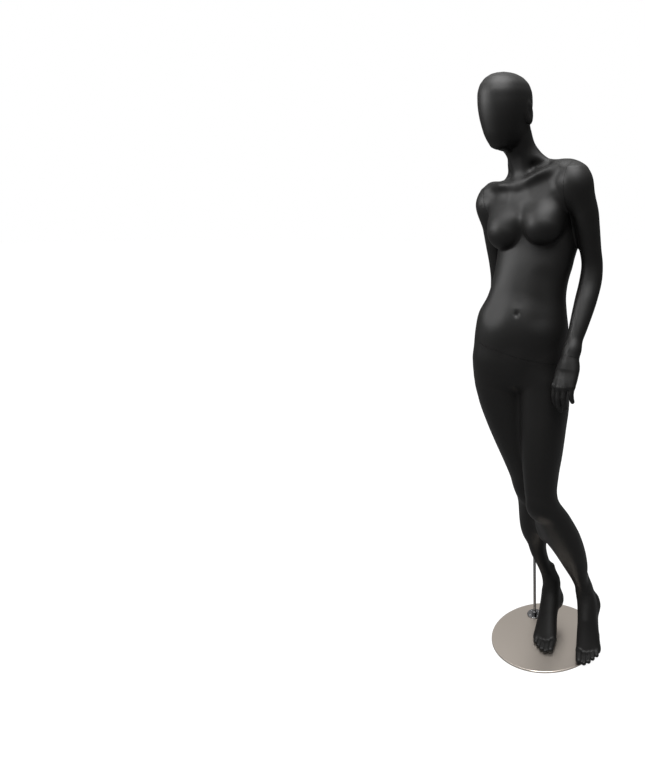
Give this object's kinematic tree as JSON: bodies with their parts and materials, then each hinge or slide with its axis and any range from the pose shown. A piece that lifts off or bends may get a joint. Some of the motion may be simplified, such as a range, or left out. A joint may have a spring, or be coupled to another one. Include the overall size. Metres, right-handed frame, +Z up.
{
  "type": "full body display mannequin",
  "caption": "Standing full body display mannequin in satin black, featureless head, detachable torso, arms and hands, on a round steel base with a calf rod.",
  "frame": {"origin": "centre of the round base's underside, on the floor", "axes": "+Z up; the figure faces -Y; its own left is +X"},
  "size_m": [0.436, 0.386, 1.812],
  "materials": {
    "black_shell": "satin",
    "brushed_base": "brushed",
    "foot_pad": "matte",
    "board_wood": "raw",
    "bright_chrome": "polished",
    "bush_nylon": "matte",
    "plain_steel": "satin"
  },
  "bodies": {
    "base": {"base_plate": "brushed_base", "base_foot_pad": "foot_pad", "rod_flange": "bright_chrome", "flange_screws": "plain_steel", "calf_rod": "bright_chrome"},
    "grub_screw": {"collar_grub_screw": "plain_steel"},
    "lower_body": {"lower_body_shell": "black_shell", "calf_socket_tube": "bright_chrome", "waist_socket_board": "board_wood", "waist_socket_plate": "plain_steel", "waist_socket_screws": "plain_steel"},
    "upper_body": {"upper_body_shell": "black_shell", "waist_key_board": "board_wood", "waist_key_plate": "plain_steel", "waist_key_screws": "plain_steel", "waist_key": "plain_steel", "left_shoulder_socket_board": "board_wood", "left_shoulder_socket_plate": "plain_steel", "left_shoulder_socket_screws": "plain_steel", "right_shoulder_socket_board": "board_wood", "right_shoulder_socket_plate": "plain_steel", "right_shoulder_socket_screws": "plain_steel"},
    "left_arm": {"left_arm_shell": "black_shell", "left_shoulder_key_board": "board_wood", "left_shoulder_key_plate": "plain_steel", "left_shoulder_key_screws": "plain_steel", "left_shoulder_key": "plain_steel", "left_wrist_plug": "board_wood", "left_wrist_bush": "bush_nylon"},
    "right_arm": {"right_arm_shell": "black_shell", "right_shoulder_key_board": "board_wood", "right_shoulder_key_plate": "plain_steel", "right_shoulder_key_screws": "plain_steel", "right_shoulder_key": "plain_steel", "right_wrist_plug": "board_wood", "right_wrist_bush": "bush_nylon"},
    "left_hand": {"left_hand": "black_shell", "left_wrist_stud": "plain_steel", "left_wrist_nut": "plain_steel"},
    "right_hand": {"right_hand": "black_shell", "right_wrist_stud": "plain_steel", "right_wrist_nut": "plain_steel"}
  },
  "joints": [
    {"name": "grub_screw_turn", "type": "hinge", "parent": "base", "child": "grub_screw", "pos_m": [-0.068, 0.112, 0.0185], "axis": [0, 1, 0], "range_deg": [0, 720]},
    {"name": "body_lift", "type": "slide", "parent": "base", "child": "lower_body", "axis": [0, 0, 1], "range_m": [0, 0.125]},
    {"name": "waist_turn", "type": "hinge", "parent": "lower_body", "child": "upper_body", "pos_m": [-0.077, -0.02, 1.038], "axis": [0.2561, -0.078, 0.9635], "range_deg": [-45, 0]},
    {"name": "left_shoulder_turn", "type": "hinge", "parent": "upper_body", "child": "left_arm", "pos_m": [0.092, -0.032, 1.521], "axis": [0.93, -0.357, -0.087], "range_deg": [-75, 0]},
    {"name": "right_shoulder_turn", "type": "hinge", "parent": "upper_body", "child": "right_arm", "pos_m": [-0.178, 0.083, 1.473], "axis": [-0.8826, 0.3388, -0.3259], "range_deg": [-60, 0]},
    {"name": "left_wrist_turn", "type": "hinge", "parent": "left_arm", "child": "left_hand", "pos_m": [0.097, -0.095, 1.026], "axis": [-0.144, -0.4329, -0.8899], "range_deg": [-30, 30]},
    {"name": "right_wrist_turn", "type": "hinge", "parent": "right_arm", "child": "right_hand", "pos_m": [-0.209, 0.145, 0.975], "axis": [0.02, -0.1, -0.9948], "range_deg": [-30, 30]}
  ]
}
